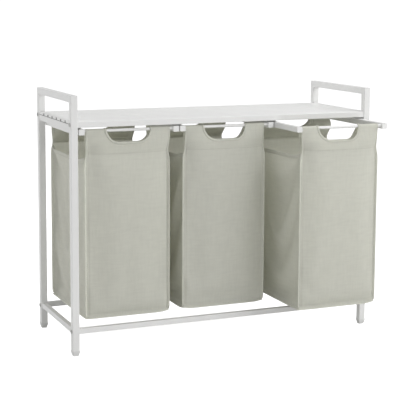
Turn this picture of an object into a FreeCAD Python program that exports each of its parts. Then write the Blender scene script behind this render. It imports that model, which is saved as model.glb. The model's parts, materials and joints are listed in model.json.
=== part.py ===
"""Three-section laundry sorter with a slatted shelf and pull-out bags.

Millimetres, +X to the right, +Y to the rear, +Z up. The origin is on the floor, at the centre
of the space that the sorter takes up with its right bag pulled out as stored.
Two welded end frames are joined by two low rails and by the shelf. Under the shelf, four
guides carry three sliding carriers, and each carrier holds a cloth bag on two rods.
"""
import FreeCAD, Part
import os
from FreeCAD import Placement, Rotation, Vector

# Overall size of the standing frame.
WIDTH = 925.0
DEPTH = 338.0
HEIGHT = 720.0

# End frames: square posts with a mitred handle rail on top, and two side rails.
POST = 19.5
POST_WALL = 1.0
TUBE_EDGE = 1.5
RAIL = 15.0
RAIL_WALL = 1.0
LOW_RAIL_Z = 69.5
SIDE_RAIL_HEIGHT = 17.0

# Plastic feet plugged into the posts.
FOOT_HEIGHT = 15.0
FOOT_COLLAR = 3.5
FOOT_OVERHANG = 0.8
FOOT_SOLE = 14.5
PLUG_LENGTH = 18.0

# Shelf: front and rear rails with folded sheet slats between them.
SHELF_TOP = 649.0
SHELF_RAIL_HEIGHT = 16.5
SLAT_COUNT = 7
SLAT_GAP = 7.0
SLAT_HEIGHT = 8.0
SLAT_SHEET = 0.8
SLAT_END_INSET = 3.0
BEARER_WIDTH = 24.0

# Carriers: three across, each two slide bars joined by two rods.
CARRIER_PITCH = 294.0
CARRIER_WIDTH = 290.0
BAR = 16.0
BAR_WALL = 1.0
BAR_BOTTOM = 612.0
BAR_REACH = 166.0
CAP_PLATE = 3.0
CAP_PLUG = 10.0
ROD_RADIUS = 4.25
ROD_WALL = 1.0
ROD_Z = 621.9
ROD_Y = 157.0
RIGHT_PULLED_OUT = 140.0

# Slide guides: two flanges and a web, which wrap the bars from between.
GUIDE_WEB = 2.0
GUIDE_FLANGE_WIDTH = 12.0
GUIDE_FLANGE = 1.5
GUIDE_SIDE_GAP = 1.0
RUNNING_GAP = 0.3
GUIDE_FRONT = 142.0
GUIDE_REAR = 151.0

# Bags: cloth panels, a sleeve round each rod, and a board in the bottom.
BAG_WIDTH = 248.0
BAG_DEPTH = 323.0
BAG_BOTTOM = 100.5
BAG_SIDE_TOP = 549.0
CLOTH = 2.0
SLEEVE_WALL = 1.6
SLEEVE_GAP = 0.25
NOTCH_WIDTH = 128.0
NOTCH_BOTTOM = 593.0
NOTCH_CORNER = 20.0
BOARD = 3.0
BOARD_GAP = 3.5

# Bolts through the posts into inserts in the rail ends.
BOLT_RADIUS = 3.0
BOLT_HOLE_RADIUS = 3.3
BOLT_HEAD_RADIUS = 5.6
BOLT_HEAD = 2.4
BOLT_LENGTH = 34.0
SOCKET_ACROSS = 4.0
SOCKET_DEPTH = 1.8
INSERT_LENGTH = 20.0
FIT_GAP = 0.05

POST_X = (WIDTH - POST) / 2
POST_Y = (DEPTH - POST) / 2
INNER_X = WIDTH / 2 - POST
INNER_Y = DEPTH / 2 - POST
SLAT_BOTTOM = SHELF_TOP - SLAT_HEIGHT
SHELF_RAIL_Z = SHELF_TOP - SHELF_RAIL_HEIGHT / 2
SHELF_RAIL_BACK = POST_Y - RAIL / 2
BAR_TOP = BAR_BOTTOM + BAR
SIDES = {"left": -1, "right": 1}
ENDS = {"front": -1, "rear": 1}
CARRIERS = {"left": -CARRIER_PITCH, "middle": 0.0, "right": CARRIER_PITCH}
PULLED_OUT = {"left": 0.0, "middle": 0.0, "right": RIGHT_PULLED_OUT}

# The stored object reaches from the pulled-out bar's front to the rear posts.
STORED_FRONT = -BAR_REACH - RIGHT_PULLED_OUT
STORED_REAR = DEPTH / 2 + FOOT_OVERHANG
ORIGIN_SHIFT = Vector(0, -(STORED_FRONT + STORED_REAR) / 2, 0)


def rounded_rectangle(low, high, radius):
    """A closed wire in the XY plane, from corner low to corner high, with round corners."""
    (x0, y0), (x1, y1) = low, high
    centres = [(x1 - radius, y1 - radius), (x0 + radius, y1 - radius),
               (x0 + radius, y0 + radius), (x1 - radius, y0 + radius)]
    edges = []
    for i, (cx, cy) in enumerate(centres):
        centre = Vector(cx, cy, 0)
        arc = Part.makeCircle(radius, centre, Vector(0, 0, 1), 90 * i, 90 * (i + 1))
        nx, ny = centres[(i + 1) % 4]
        leaving = Rotation(Vector(0, 0, 1), 90 * (i + 1)).multVec(Vector(radius, 0, 0))
        edges += [arc, Part.makeLine(centre + leaving, Vector(nx, ny, 0) + leaving)]
    return Part.Wire(edges)


def bar(axis, low, high, wall=0.0, radius=TUBE_EDGE):
    """A straight bar along x, y or z that fills the box low to high, or a tube if it has a wall."""
    size = [b - a for a, b in zip(low, high)]
    order, turn = {"x": ((1, 2, 0), 120), "y": ((2, 0, 1), 240), "z": ((0, 1, 2), 0)}[axis]
    across, up, length = (size[i] for i in order)
    along = Vector(0, 0, length)
    solid = Part.Face(rounded_rectangle((0, 0), (across, up), radius)).extrude(along)
    if wall:
        hollow = rounded_rectangle((wall, wall), (across - wall, up - wall), radius - wall / 2)
        solid = solid.cut(Part.Face(hollow).extrude(along))
    solid.Placement = Placement(Vector(*low), Rotation(Vector(1, 1, 1), turn))
    return solid


def box(low, high):
    """A plain block from corner low to corner high."""
    return Part.makeBox(*(b - a for a, b in zip(low, high)), Vector(*low))


def span(side, near, far):
    """The lowest and highest value of a range that lies on one side, -1 or 1, of the middle."""
    return sorted((side * near, side * far))


def rod(radius, start, direction, length):
    """A round bar from a start point."""
    return Part.makeCylinder(radius, length, Vector(*start), Vector(*direction))


def save(name, shape, pulled_out=0.0):
    """Writes one node in its stored place."""
    placed = shape.copy()
    placed.translate(ORIGIN_SHIFT - Vector(0, pulled_out, 0))
    placed.exportStep("parts/" + name + ".step")


def mitre_waste(end, inside):
    """What the mitre at one top corner removes: from the post if inside, else from the rail."""
    outer, inner = end * (DEPTH / 2 + 1), end * (DEPTH / 2 - POST - 1)
    top, bottom = HEIGHT + 1, HEIGHT - POST - 1
    corner = (inner, top) if inside else (outer, bottom)
    outline = [(outer, top), (inner, bottom), corner, (outer, top)]
    face = Part.Face(Part.makePolygon([Vector(-WIDTH, y, z) for y, z in outline]))
    return face.extrude(Vector(2 * WIDTH, 0, 0))


def post(side, end):
    """A square tube from the foot to the mitred top, with a hole at each bolt."""
    x0, x1 = span(side, INNER_X, WIDTH / 2)
    y0, y1 = span(end, INNER_Y, DEPTH / 2)
    tube = bar("z", (x0, y0, FOOT_HEIGHT), (x1, y1, HEIGHT), POST_WALL)
    tube = tube.cut(mitre_waste(end, True))
    for z in (LOW_RAIL_Z, SHELF_RAIL_Z):
        tube = tube.cut(rod(BOLT_HOLE_RADIUS, (x0 - 1, end * POST_Y, z), (1, 0, 0), POST + 2))
    return tube


def handle_rail(side):
    """The rail across the top of an end frame, mitred at both ends."""
    x0, x1 = span(side, INNER_X, WIDTH / 2)
    rail = bar("y", (x0, -DEPTH / 2, HEIGHT - POST), (x1, DEPTH / 2, HEIGHT), POST_WALL)
    return rail.cut(mitre_waste(-1, False)).cut(mitre_waste(1, False))


def side_rail(side, bottom, height):
    """A rail between the posts of one end frame, centred on them."""
    x0, x1 = side * POST_X - RAIL / 2, side * POST_X + RAIL / 2
    return bar("y", (x0, -INNER_Y, bottom), (x1, INNER_Y, bottom + height), RAIL_WALL)


def long_rail(end, centre_z, height):
    """A rail from one end frame to the other, centred on the posts."""
    y0, y1 = end * POST_Y - RAIL / 2, end * POST_Y + RAIL / 2
    low, high = (-INNER_X, y0, centre_z - height / 2), (INNER_X, y1, centre_z + height / 2)
    return bar("x", low, high, RAIL_WALL)


def foot(side, end):
    """A tapered plastic foot under a square collar, with a plug that fills the post."""
    x, y = side * POST_X, end * POST_Y
    collar = POST / 2 + FOOT_OVERHANG
    plug = POST / 2 - POST_WALL - FIT_GAP
    rings = []
    for half, z in ((FOOT_SOLE / 2, 0.0), (collar, FOOT_HEIGHT - FOOT_COLLAR)):
        ring = rounded_rectangle((x - half, y - half), (x + half, y + half), TUBE_EDGE)
        ring.translate(Vector(0, 0, z))
        rings.append(ring)
    block = Part.makeLoft(rings, True, True)
    rim = bar("z", (x - collar, y - collar, FOOT_HEIGHT - FOOT_COLLAR),
              (x + collar, y + collar, FOOT_HEIGHT))
    stem = bar("z", (x - plug, y - plug, FOOT_HEIGHT - 1), (x + plug, y + plug, FOOT_HEIGHT + PLUG_LENGTH))
    return block.fuse([rim, stem]).removeSplitter()


def slat(y0, y1):
    """A folded sheet slat: a flat top with a lip down all four sides."""
    x1 = WIDTH / 2 - SLAT_END_INSET
    block = box((-x1, y0, SLAT_BOTTOM), (x1, y1, SHELF_TOP))
    edges = [e for e in block.Edges if e.BoundBox.ZMin > SLAT_BOTTOM + 1]
    block = block.makeFillet(SLAT_SHEET * 1.5, edges)
    hollow = box((-x1 + SLAT_SHEET, y0 + SLAT_SHEET, SLAT_BOTTOM - 1),
                 (x1 - SLAT_SHEET, y1 - SLAT_SHEET, SHELF_TOP - SLAT_SHEET))
    return block.cut(hollow)


def slats():
    """The slats from front to rear, evenly spaced between the shelf rails."""
    first = -SHELF_RAIL_BACK + SLAT_GAP
    pitch = (2 * -first + SLAT_GAP) / SLAT_COUNT
    return [slat(first + i * pitch, first + (i + 1) * pitch - SLAT_GAP) for i in range(SLAT_COUNT)]


def bearer(x0, x1):
    """A flat tube from front to rear under the slats, above a guide."""
    bottom = BAR_TOP + RUNNING_GAP + GUIDE_FLANGE
    return bar("y", (x0, -SHELF_RAIL_BACK, bottom), (x1, SHELF_RAIL_BACK, SLAT_BOTTOM), RAIL_WALL)


def guide(web_x, flange_from, flange_to):
    """A guide profile: a web between two flanges, with the bars running between the flanges."""
    bottom, top = BAR_BOTTOM - RUNNING_GAP, BAR_TOP + RUNNING_GAP
    web = box((web_x, -GUIDE_FRONT, bottom), (web_x + GUIDE_WEB, GUIDE_REAR, top))
    low = box((flange_from, -GUIDE_FRONT, bottom - GUIDE_FLANGE), (flange_to, GUIDE_REAR, bottom))
    high = box((flange_from, -GUIDE_FRONT, top), (flange_to, GUIDE_REAR, top + GUIDE_FLANGE))
    return web.fuse([low, high]).removeSplitter()


def bolt(side, end, z):
    """A low round-headed bolt through a post, with a hexagon socket."""
    outward = Vector(side, 0, 0)
    face = Vector(side * WIDTH / 2, end * POST_Y, z)
    head = Part.makeCylinder(BOLT_HEAD_RADIUS, BOLT_HEAD, face, outward)
    rim = [e for e in head.Edges if abs(e.BoundBox.Center.x - face.x) > BOLT_HEAD - 0.1]
    head = head.makeFillet(BOLT_HEAD / 3, rim)
    corners = [Rotation(outward, 60 * i).multVec(Vector(0, 0, SOCKET_ACROSS / 3 ** 0.5)) for i in range(7)]
    mouth = face + outward * BOLT_HEAD
    socket = Part.Face(Part.makePolygon([mouth + c for c in corners])).extrude(outward * -SOCKET_DEPTH)
    shank = Part.makeCylinder(BOLT_RADIUS, BOLT_LENGTH, face, outward * -1)
    return head.fuse(shank).cut(socket)


def insert(side, end, z, height):
    """A threaded plug in the end of a long rail, which a bolt screws into."""
    hx = (RAIL / 2 - RAIL_WALL - FIT_GAP, height / 2 - RAIL_WALL - FIT_GAP)
    x0, x1 = span(side, INNER_X - INSERT_LENGTH, INNER_X)
    y = end * POST_Y
    plug = bar("x", (x0, y - hx[0], z - hx[1]), (x1, y + hx[0], z + hx[1]), radius=1.0)
    return plug.cut(rod(BOLT_RADIUS + FIT_GAP, (x0 - 1, y, z), (1, 0, 0), INSERT_LENGTH + 2))


def slide_bar(x, side):
    """One of a carrier's two bars: a square tube that ends inside its caps."""
    x0, x1 = sorted((x + side * (CARRIER_WIDTH / 2 - BAR), x + side * CARRIER_WIDTH / 2))
    reach = BAR_REACH - CAP_PLATE
    return bar("y", (x0, -reach, BAR_BOTTOM), (x1, reach, BAR_TOP), BAR_WALL)


def bar_cap(x, side, end):
    """A plastic cap on a bar's end: a plate as big as the bar, with a plug inside it."""
    cx = x + side * (CARRIER_WIDTH - BAR) / 2
    cz = BAR_BOTTOM + BAR / 2
    half, plug = BAR / 2, BAR / 2 - BAR_WALL - FIT_GAP
    y0, y1 = span(end, BAR_REACH - CAP_PLATE, BAR_REACH)
    plate = bar("y", (cx - half, y0, cz - half), (cx + half, y1, cz + half))
    p0, p1 = span(end, BAR_REACH - CAP_PLATE - CAP_PLUG, BAR_REACH - CAP_PLATE / 2)
    stem = bar("y", (cx - plug, p0, cz - plug), (cx + plug, p1, cz + plug), radius=1.0)
    return plate.fuse(stem)


def carrier_rod(x, end):
    """A round tube between a carrier's bars, which a bag hangs on."""
    half = CARRIER_WIDTH / 2 - BAR
    start = (x - half, end * ROD_Y, ROD_Z)
    outer = rod(ROD_RADIUS, start, (1, 0, 0), 2 * half)
    return outer.cut(rod(ROD_RADIUS - ROD_WALL, start, (1, 0, 0), 2 * half))


def hung_panel(x, end):
    """A bag's front or rear panel: cloth with a sleeve round the rod and a notch for the hand."""
    y0, y1 = span(end, BAG_DEPTH / 2 - CLOTH, BAG_DEPTH / 2)
    half = BAG_WIDTH / 2
    sleeve_radius = ROD_RADIUS + SLEEVE_GAP + SLEEVE_WALL
    cloth = box((x - half, y0, BAG_BOTTOM), (x + half, y1, ROD_Z))
    sleeve = rod(sleeve_radius, (x - half, end * ROD_Y, ROD_Z), (1, 0, 0), BAG_WIDTH)
    notch = bar("y", (x - NOTCH_WIDTH / 2, end * ROD_Y - 2 * sleeve_radius, NOTCH_BOTTOM),
                (x + NOTCH_WIDTH / 2, end * ROD_Y + 2 * sleeve_radius, ROD_Z + 2 * NOTCH_CORNER),
                radius=NOTCH_CORNER)
    bore = rod(ROD_RADIUS + SLEEVE_GAP, (x - half, end * ROD_Y, ROD_Z), (1, 0, 0), BAG_WIDTH)
    return cloth.fuse(sleeve).cut(bore).cut(notch)


def bag(x):
    """The cloth bag: front and rear panels, two lower side panels and a bottom, sewn edge to edge."""
    half, back = BAG_WIDTH / 2, BAG_DEPTH / 2 - CLOTH
    floor = BAG_BOTTOM + CLOTH
    sides = [box((x0, -back, floor), (x0 + CLOTH, back, BAG_SIDE_TOP)) for x0 in (x - half, x + half - CLOTH)]
    bottom = box((x - half, -back, BAG_BOTTOM), (x + half, back, floor))
    return Part.makeCompound([hung_panel(x, -1), hung_panel(x, 1), *sides, bottom])


def bag_board(x):
    """The stiff board that lies in the bottom of a bag."""
    half, back = BAG_WIDTH / 2 - CLOTH - BOARD_GAP, BAG_DEPTH / 2 - CLOTH - BOARD_GAP
    floor = BAG_BOTTOM + CLOTH
    return bar("z", (x - half, -back, floor), (x + half, back, floor + BOARD), radius=6.0)


def save_end_frames():
    low = LOW_RAIL_Z - RAIL / 2
    for side_name, side in SIDES.items():
        save(side_name + "_handle_rail", handle_rail(side))
        save(side_name + "_upper_side_rail", side_rail(side, SLAT_BOTTOM - SIDE_RAIL_HEIGHT, SIDE_RAIL_HEIGHT))
        save(side_name + "_lower_side_rail", side_rail(side, low, RAIL))
        for end_name, end in ENDS.items():
            save(side_name + "_" + end_name + "_post", post(side, end))
            save(side_name + "_" + end_name + "_foot", foot(side, end))


def save_long_rails():
    corners = [(side, end) for side in SIDES.values() for end in ENDS.values()]
    for name, z, height in (("lower", LOW_RAIL_Z, RAIL), ("shelf", SHELF_RAIL_Z, SHELF_RAIL_HEIGHT)):
        for end_name, end in ENDS.items():
            save(end_name + "_" + name + "_rail", long_rail(end, z, height))
        save(name + "_rail_bolts", Part.makeCompound([bolt(side, end, z) for side, end in corners]))
        inserts = [insert(side, end, z, height) for side, end in corners]
        save(name + "_rail_inserts", Part.makeCompound(inserts))


def save_shelf():
    for number, shape in enumerate(slats(), 1):
        save("shelf_slat_" + str(number), shape)
    for side_name, side in SIDES.items():
        bar_face = CARRIER_PITCH + CARRIER_WIDTH / 2
        web = span(side, bar_face + GUIDE_SIDE_GAP, bar_face + GUIDE_SIDE_GAP + GUIDE_WEB)
        flange = span(side, bar_face + GUIDE_SIDE_GAP + GUIDE_WEB - GUIDE_FLANGE_WIDTH - 1,
                      bar_face + GUIDE_SIDE_GAP + GUIDE_WEB)
        save(side_name + "_end_bearer", bearer(*flange))
        save(side_name + "_end_guide", guide(web[0], *flange))
        middle = side * CARRIER_PITCH / 2
        save(side_name + "_middle_bearer", bearer(middle - BEARER_WIDTH / 2, middle + BEARER_WIDTH / 2))
        save(side_name + "_middle_guide",
             guide(middle - GUIDE_WEB / 2, middle - GUIDE_FLANGE_WIDTH, middle + GUIDE_FLANGE_WIDTH))


def save_carriers():
    for name, x in CARRIERS.items():
        out = PULLED_OUT[name]
        for side_name, side in SIDES.items():
            save(name + "_carrier_" + side_name + "_bar", slide_bar(x, side), out)
        for end_name, end in ENDS.items():
            save(name + "_carrier_" + end_name + "_rod", carrier_rod(x, end), out)
        caps = [bar_cap(x, side, end) for side in SIDES.values() for end in ENDS.values()]
        save(name + "_carrier_bar_caps", Part.makeCompound(caps), out)
        save(name + "_bag", bag(x), out)
        save(name + "_bag_board", bag_board(x), out)


os.makedirs("parts", exist_ok=True)
save_end_frames()
save_long_rails()
save_shelf()
save_carriers()
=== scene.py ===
import json
import math

import bpy
import numpy as np
from mathutils import Euler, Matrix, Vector, noise


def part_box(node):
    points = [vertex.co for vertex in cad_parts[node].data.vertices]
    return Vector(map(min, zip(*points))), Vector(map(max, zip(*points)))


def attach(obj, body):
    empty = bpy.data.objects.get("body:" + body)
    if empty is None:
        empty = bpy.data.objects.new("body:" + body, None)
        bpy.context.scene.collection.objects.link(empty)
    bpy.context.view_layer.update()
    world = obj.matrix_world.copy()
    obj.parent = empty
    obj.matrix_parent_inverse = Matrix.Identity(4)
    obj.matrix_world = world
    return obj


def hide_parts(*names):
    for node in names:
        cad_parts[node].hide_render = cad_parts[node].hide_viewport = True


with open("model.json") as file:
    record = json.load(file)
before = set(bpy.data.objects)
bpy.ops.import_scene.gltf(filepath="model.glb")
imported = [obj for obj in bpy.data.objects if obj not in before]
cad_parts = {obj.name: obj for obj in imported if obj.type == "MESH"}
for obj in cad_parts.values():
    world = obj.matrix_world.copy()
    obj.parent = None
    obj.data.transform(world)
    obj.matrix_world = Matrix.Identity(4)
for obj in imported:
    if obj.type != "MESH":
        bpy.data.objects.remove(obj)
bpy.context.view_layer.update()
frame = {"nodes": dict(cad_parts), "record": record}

# ---------------- sizes, in metres
MM = 0.001
CLOTH = 1.1 * MM  # thickness of one layer of cloth
ROD_GAP = 0.45 * MM  # air between the rod and the inside of its sleeve
EDGE_ROUND = 4 * MM  # rounding of the bag's edges under the seams
CORNER_REACH = 34 * MM  # how far from a lower corner its cloth is lifted
FLAP_HALF = 121.5 * MM  # half of the flaps' width, inside their hems
SIDE_TOP = 0.549  # level of the side panels' hemmed top edge
STITCH_LEVEL = 0.5595  # level of the seam that closes the sleeve
SLEEVE_LOW = (0.612, 0.582)  # level under which the front and rear sleeves take the body's width
SLEEVE_END = 0.555  # level of the sleeve's free edge inside the bag
REAR_NOTCH_LOW = 0.590  # level of the rear notch's lower edge
NOTCH_HALF = 0.0650  # half of the hand notch's width at the rod
NOTCH_FLAT = 0.027  # half of the straight part of its lower edge
NOTCH_BINDING = 6.5 * MM  # width of the binding sewn round the notch
BINDING_THICK = 2.6 * MM
CREASE = 5.5 * MM  # from a bag's corner to the crease beside its seam
CREASE_DEPTH = 1.2 * MM  # how deep the seam draws the cloth in there
SLEEVE_CREASE = 0.25 * MM  # the same at the seam that closes the sleeve
CREASE_WIDTH = 2.0 * MM
FLANGE = 7.6 * MM  # how far a pinched seam stands out
FLANGE_THICK = 2.2 * MM
FLANGE_TURN = {-1: math.radians(34), 1: math.radians(50)}  # from the front panel's plane, by side
FLAP_HEM = 3.0 * MM  # how far the flaps' hems reach past the panel
BOTTOM_SEAM = 5.5 * MM  # level of the bottom seam over the bag's bottom
BOTTOM_TILT = math.radians(50)
HEM = 11 * MM  # width of the side panels' hem
HEM_THICK = 3.2 * MM
BASE_GAP = 3 * MM  # from the board's cover to the panels' middle
STITCH = 3.6 * MM
STITCH_PITCH = 5.2 * MM
THREAD = 0.34 * MM  # radius of the sewing thread
ENDS = {"front": -1, "rear": 1}
SIDES = {"left": -1, "right": 1}
COMB_STRIP = 1.3 * MM  # height of the dark strip of painted shade beside the slats' ends
COMB_TOOTH = 5.0 * MM  # length of its teeth between the slats
COMB_DROP = 1.0 * MM  # how far the teeth stay under the slats' tops
COMB_GAP = 0.3 * MM  # from the comb's sides to the slats and to the rail's face

# How each bag hangs, in millimetres: how far its front and rear panels stand inside the
# faces of their sleeves, how slack the inner layers of the sleeves are, how far the body
# stands aside of its carrier's middle, the body's half width inside its seams, how far
# the lower corners lift on the left and on the right, how far the front and rear sleeves
# have slid along their rods, how far the notches stand aside of the sleeves' middles, the
# level of the front notch's lower edge, and the seed of its folds.
HANGS = {
    "left": {"inside": (1.5, 6.0), "slack": (6.0, 12.0), "aside": (-5.0, -2.0), "half": (120.0, 124.7),
             "lift": (0.5, 5.0), "slid": (-2.5, -0.5), "notch": (0.0, 3.0), "low": 589.5, "seed": 3},
    "middle": {"inside": (8.0, 14.0), "slack": (8.0, 24.0), "aside": (-5.2, -2.5), "half": (124.0, 124.0),
               "lift": (4.0, 5.0), "slid": (-5.8, 0.3), "notch": (-2.0, 3.0), "low": 586.0, "seed": 8},
    "right": {"inside": (8.5, 14.0), "slack": (12.0, 24.0), "aside": (-3.2, 0.3), "half": (121.2, 124.0),
              "lift": (0.5, 5.5), "slid": (-5.8, 0.3), "notch": (-6.0, 3.0), "low": 586.5, "seed": 14},
}
SLEEVE_SCALE = (0.984, 1.022)  # width of the front and rear sleeves as a share of the usual one


# ---------------- shader helpers
def scaled(color, factor):
    return tuple(channel * factor for channel in color)


class Shader:
    """A material with one Principled shader, and short calls for the nodes that drive it."""

    def __init__(self, name, color, roughness, **values):
        self.color = color
        self.material = bpy.data.materials.new(name)
        self.material.use_nodes = True
        self.tree = self.material.node_tree
        self.shader = self.tree.nodes["Principled BSDF"]
        self.shader.inputs["Base Color"].default_value = (*color, 1)
        self.shader.inputs["Roughness"].default_value = roughness
        for socket, value in values.items():
            self.shader.inputs[socket.replace("_", " ")].default_value = value

    def node(self, kind, **settings):
        made = self.tree.nodes.new("ShaderNode" + kind)
        for key, value in settings.items():
            setattr(made, key, value)
        return made

    def link(self, output, socket):
        self.tree.links.new(output, socket)

    def drive(self, socket, output):
        """Feeds a node's output to a socket of the Principled shader."""
        self.link(output, self.shader.inputs[socket])

    def place(self, kind="Object", scale=(1, 1, 1)):
        """The object's own coordinates in metres, or a UV map's, times a scale."""
        if kind == "Object":
            source = self.node("TexCoord").outputs["Object"]
        else:
            source = self.node("UVMap", uv_map=kind).outputs["UV"]
        mapping = self.node("Mapping")
        mapping.inputs["Scale"].default_value = scale
        self.link(source, mapping.inputs["Vector"])
        return mapping.outputs["Vector"]

    def noise(self, vector, scale, detail=2.0, roughness=0.5):
        made = self.node("TexNoise")
        made.inputs["Scale"].default_value = scale
        made.inputs["Detail"].default_value = detail
        made.inputs["Roughness"].default_value = roughness
        self.link(vector, made.inputs["Vector"])
        return made.outputs["Fac"]

    def span(self, value, low, high, start=0.0, end=1.0):
        """Maps a value from start..end to low..high, and holds it there."""
        made = self.node("MapRange")
        for socket, number in (("From Min", start), ("From Max", end), ("To Min", low), ("To Max", high)):
            made.inputs[socket].default_value = number
        self.link(value, made.inputs["Value"])
        return made.outputs["Result"]

    def maths(self, operation, a, b=None):
        made = self.node("Math", operation=operation)
        for socket, value in zip(made.inputs, (a, b)):
            if isinstance(value, (int, float)):
                socket.default_value = value
            elif value is not None:
                self.link(value, socket)
        return made.outputs[0]

    def tint(self, factor, start, end):
        """The material's colour, times start where the factor is 0 and times end where it is 1."""
        made = self.node("Mix", data_type="RGBA")
        made.inputs["A"].default_value = (*scaled(self.color, start), 1)
        made.inputs["B"].default_value = (*scaled(self.color, end), 1)
        self.link(factor, made.inputs["Factor"])
        return made.outputs["Result"]

    def bumpy(self, *layers):
        """Stacks bumps, each one (height, strength, depth in metres), and returns the material."""
        last = None
        for height, strength, depth in layers:
            made = self.node("Bump")
            made.inputs["Strength"].default_value = strength
            made.inputs["Distance"].default_value = depth
            self.link(height, made.inputs["Height"])
            if last:
                self.link(last, made.inputs["Normal"])
            last = made.outputs["Normal"]
        self.drive("Normal", last)
        return self.material


# ---------------- materials
def powder_coat():
    """Satin white paint with a fine orange peel and faint rubbed patches."""
    coat = Shader("white_powder_coat", (0.84, 0.84, 0.83), 0.42, Specular_IOR_Level=0.45, Coat_Weight=0.06)
    where = coat.place()
    peel = coat.noise(where, 620, 2.0, 0.55)
    cloudy = coat.noise(where, 9, 3.0)
    rubbed = coat.span(coat.noise(where, 38, 5.0, 0.62), 0, 1, 0.6, 0.72)
    patch = coat.maths("MULTIPLY", rubbed, 0.35)
    tone = coat.maths("ADD", coat.span(cloudy, 0, 0.65, 0.3, 0.7), patch)
    coat.drive("Base Color", coat.tint(tone, 1.02, 0.965))
    worn = coat.maths("MULTIPLY", rubbed, 0.07)
    coat.drive("Roughness", coat.maths("ADD", coat.span(cloudy, 0.37, 0.46), worn))
    return coat.bumpy((peel, 0.35, 0.12 * MM))


def moulded_plastic(name, color, roughness, grain, depth):
    """Injection-moulded plastic with a fine grain and slight shading from the mould."""
    plastic = Shader(name, color, roughness, Specular_IOR_Level=0.5)
    where = plastic.place()
    cloudy = plastic.noise(where, 60, 3.0)
    plastic.drive("Base Color", plastic.tint(cloudy, 0.96, 1.03))
    plastic.drive("Roughness", plastic.span(cloudy, roughness - 0.05, roughness + 0.07))
    return plastic.bumpy((plastic.noise(where, grain, 2.0), 0.4, depth))


def zinc_steel():
    """Zinc-plated steel of a bolt: turned marks and cloudy grey."""
    steel = Shader("bolt_steel", (0.56, 0.56, 0.55), 0.34, Metallic=1.0)
    where = steel.place()
    cloudy = steel.noise(where, 240, 3.0)
    marks = steel.noise(steel.place(scale=(0.15, 1, 1)), 2600, 2.0)
    steel.drive("Base Color", steel.tint(cloudy, 0.8, 1.12))
    steel.drive("Roughness", steel.span(marks, 0.26, 0.46))
    return steel.bumpy((marks, 0.25, 0.03 * MM))


LIGHT_THROUGH = 0.5  # share of the cloth's light that comes through from its other face


def cloth(name, color, weave=1.25 * MM):
    """Plain-woven oxford cloth: two threads crossing, slubs along both, and soft cloudiness."""
    fabric = Shader(name, color, 0.86, Specular_IOR_Level=0.22, Sheen_Weight=0.12, Sheen_Roughness=0.5)
    where = fabric.place("cloth")
    split = fabric.node("SeparateXYZ")
    fabric.link(where, split.inputs["Vector"])
    across, along = split.outputs["X"], split.outputs["Y"]
    # a thread is high where it passes over: one sine times the other is a plain weave's checker
    warp = fabric.maths("SINE", fabric.maths("MULTIPLY", across, math.pi / weave))
    weft = fabric.maths("SINE", fabric.maths("MULTIPLY", along, math.pi / weave))
    crossing = fabric.span(fabric.maths("MULTIPLY", warp, weft), 0, 1, -1, 1)

    def both_ways(stretch, scale, detail, roughness):
        """Noise drawn out along the warp, and the same along the weft."""
        return [fabric.noise(fabric.place("cloth", way), scale, detail, roughness)
                for way in ((1, stretch, 1), (stretch, 1, 1))]

    slubs = [fabric.maths("MULTIPLY", slub, 0.5) for slub in both_ways(0.045, 520, 2.0, 0.6)]
    slubs = fabric.maths("ADD", *slubs)
    # thicker yarns run in some places, and show as a soft cross-hatching from further off
    thick = [fabric.span(yarn, 0, 0.24, 0.3, 0.7) for yarn in both_ways(0.16, 135, 1.0, 0.5)]
    cloudy = fabric.noise(where, 22, 4.0, 0.55)
    tone = fabric.maths("ADD", fabric.span(slubs, 0, 0.4, 0.35, 0.65), fabric.maths("ADD", *thick))
    for more in (fabric.span(crossing, 0, 0.06), fabric.span(cloudy, 0, 0.1, 0.3, 0.7)):
        tone = fabric.maths("ADD", tone, more)
    shade = fabric.tint(tone, 0.93, 1.055)
    fabric.drive("Base Color", shade)
    fabric.drive("Roughness", fabric.span(slubs, 0.8, 0.92))
    fabric.bumpy((slubs, 0.5, 0.25 * MM), (crossing, 0.5, 0.16 * MM))
    through = fabric.node("BsdfTranslucent")
    fabric.link(shade, through.inputs["Color"])
    both = fabric.node("MixShader")
    both.inputs["Fac"].default_value = LIGHT_THROUGH
    fabric.link(fabric.shader.outputs["BSDF"], both.inputs[1])
    fabric.link(through.outputs["BSDF"], both.inputs[2])
    fabric.link(both.outputs["Shader"], fabric.tree.nodes["Material Output"].inputs["Surface"])
    return fabric.material


def thread():
    """Twisted polyester sewing thread."""
    yarn = Shader("thread", (0.50, 0.502, 0.45), 0.6, Specular_IOR_Level=0.4)
    twist = yarn.noise(yarn.place(), 900, 2.0)
    yarn.drive("Base Color", yarn.tint(twist, 0.85, 1.15))
    return yarn.bumpy((twist, 0.4, 0.05 * MM))


BAG_COLOR = (0.862, 0.863, 0.803)
MATERIALS = {
    "white_powder_coat": powder_coat(),
    "cap_plastic": moulded_plastic("cap_plastic", (0.86, 0.86, 0.85), 0.32, 900, 0.03 * MM),
    "foot_plastic": moulded_plastic("foot_plastic", (0.77, 0.77, 0.76), 0.55, 1400, 0.08 * MM),
    "insert_nylon": moulded_plastic("insert_nylon", (0.66, 0.66, 0.63), 0.5, 1200, 0.06 * MM),
    "board_plastic": moulded_plastic("board_plastic", (0.50, 0.50, 0.46), 0.6, 800, 0.1 * MM),
    "bolt_steel": zinc_steel(),
    "bag_cloth": cloth("bag_cloth", BAG_COLOR),
}
BOARD_CLOTH = cloth("board_cloth", scaled(BAG_COLOR, 0.9), 1.6 * MM)
TRIM_CLOTH = cloth("trim_cloth", scaled(BAG_COLOR, 1.01), 0.9 * MM)
THREAD_MATERIAL = thread()
# near-black painted shade for the strips and teeth that stand in for the shadow gaps under and between the
# slats' ends
SHADE_COMB_MATERIAL = moulded_plastic("painted_shade_comb", (0.20, 0.20, 0.195), 0.7, 1100, 0.06 * MM)

for part in frame["record"]["subparts"]:
    node = frame["nodes"][part["node"]]
    node.data.materials.clear()
    node.data.materials.append(MATERIALS[part["material_slot"]])


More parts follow.
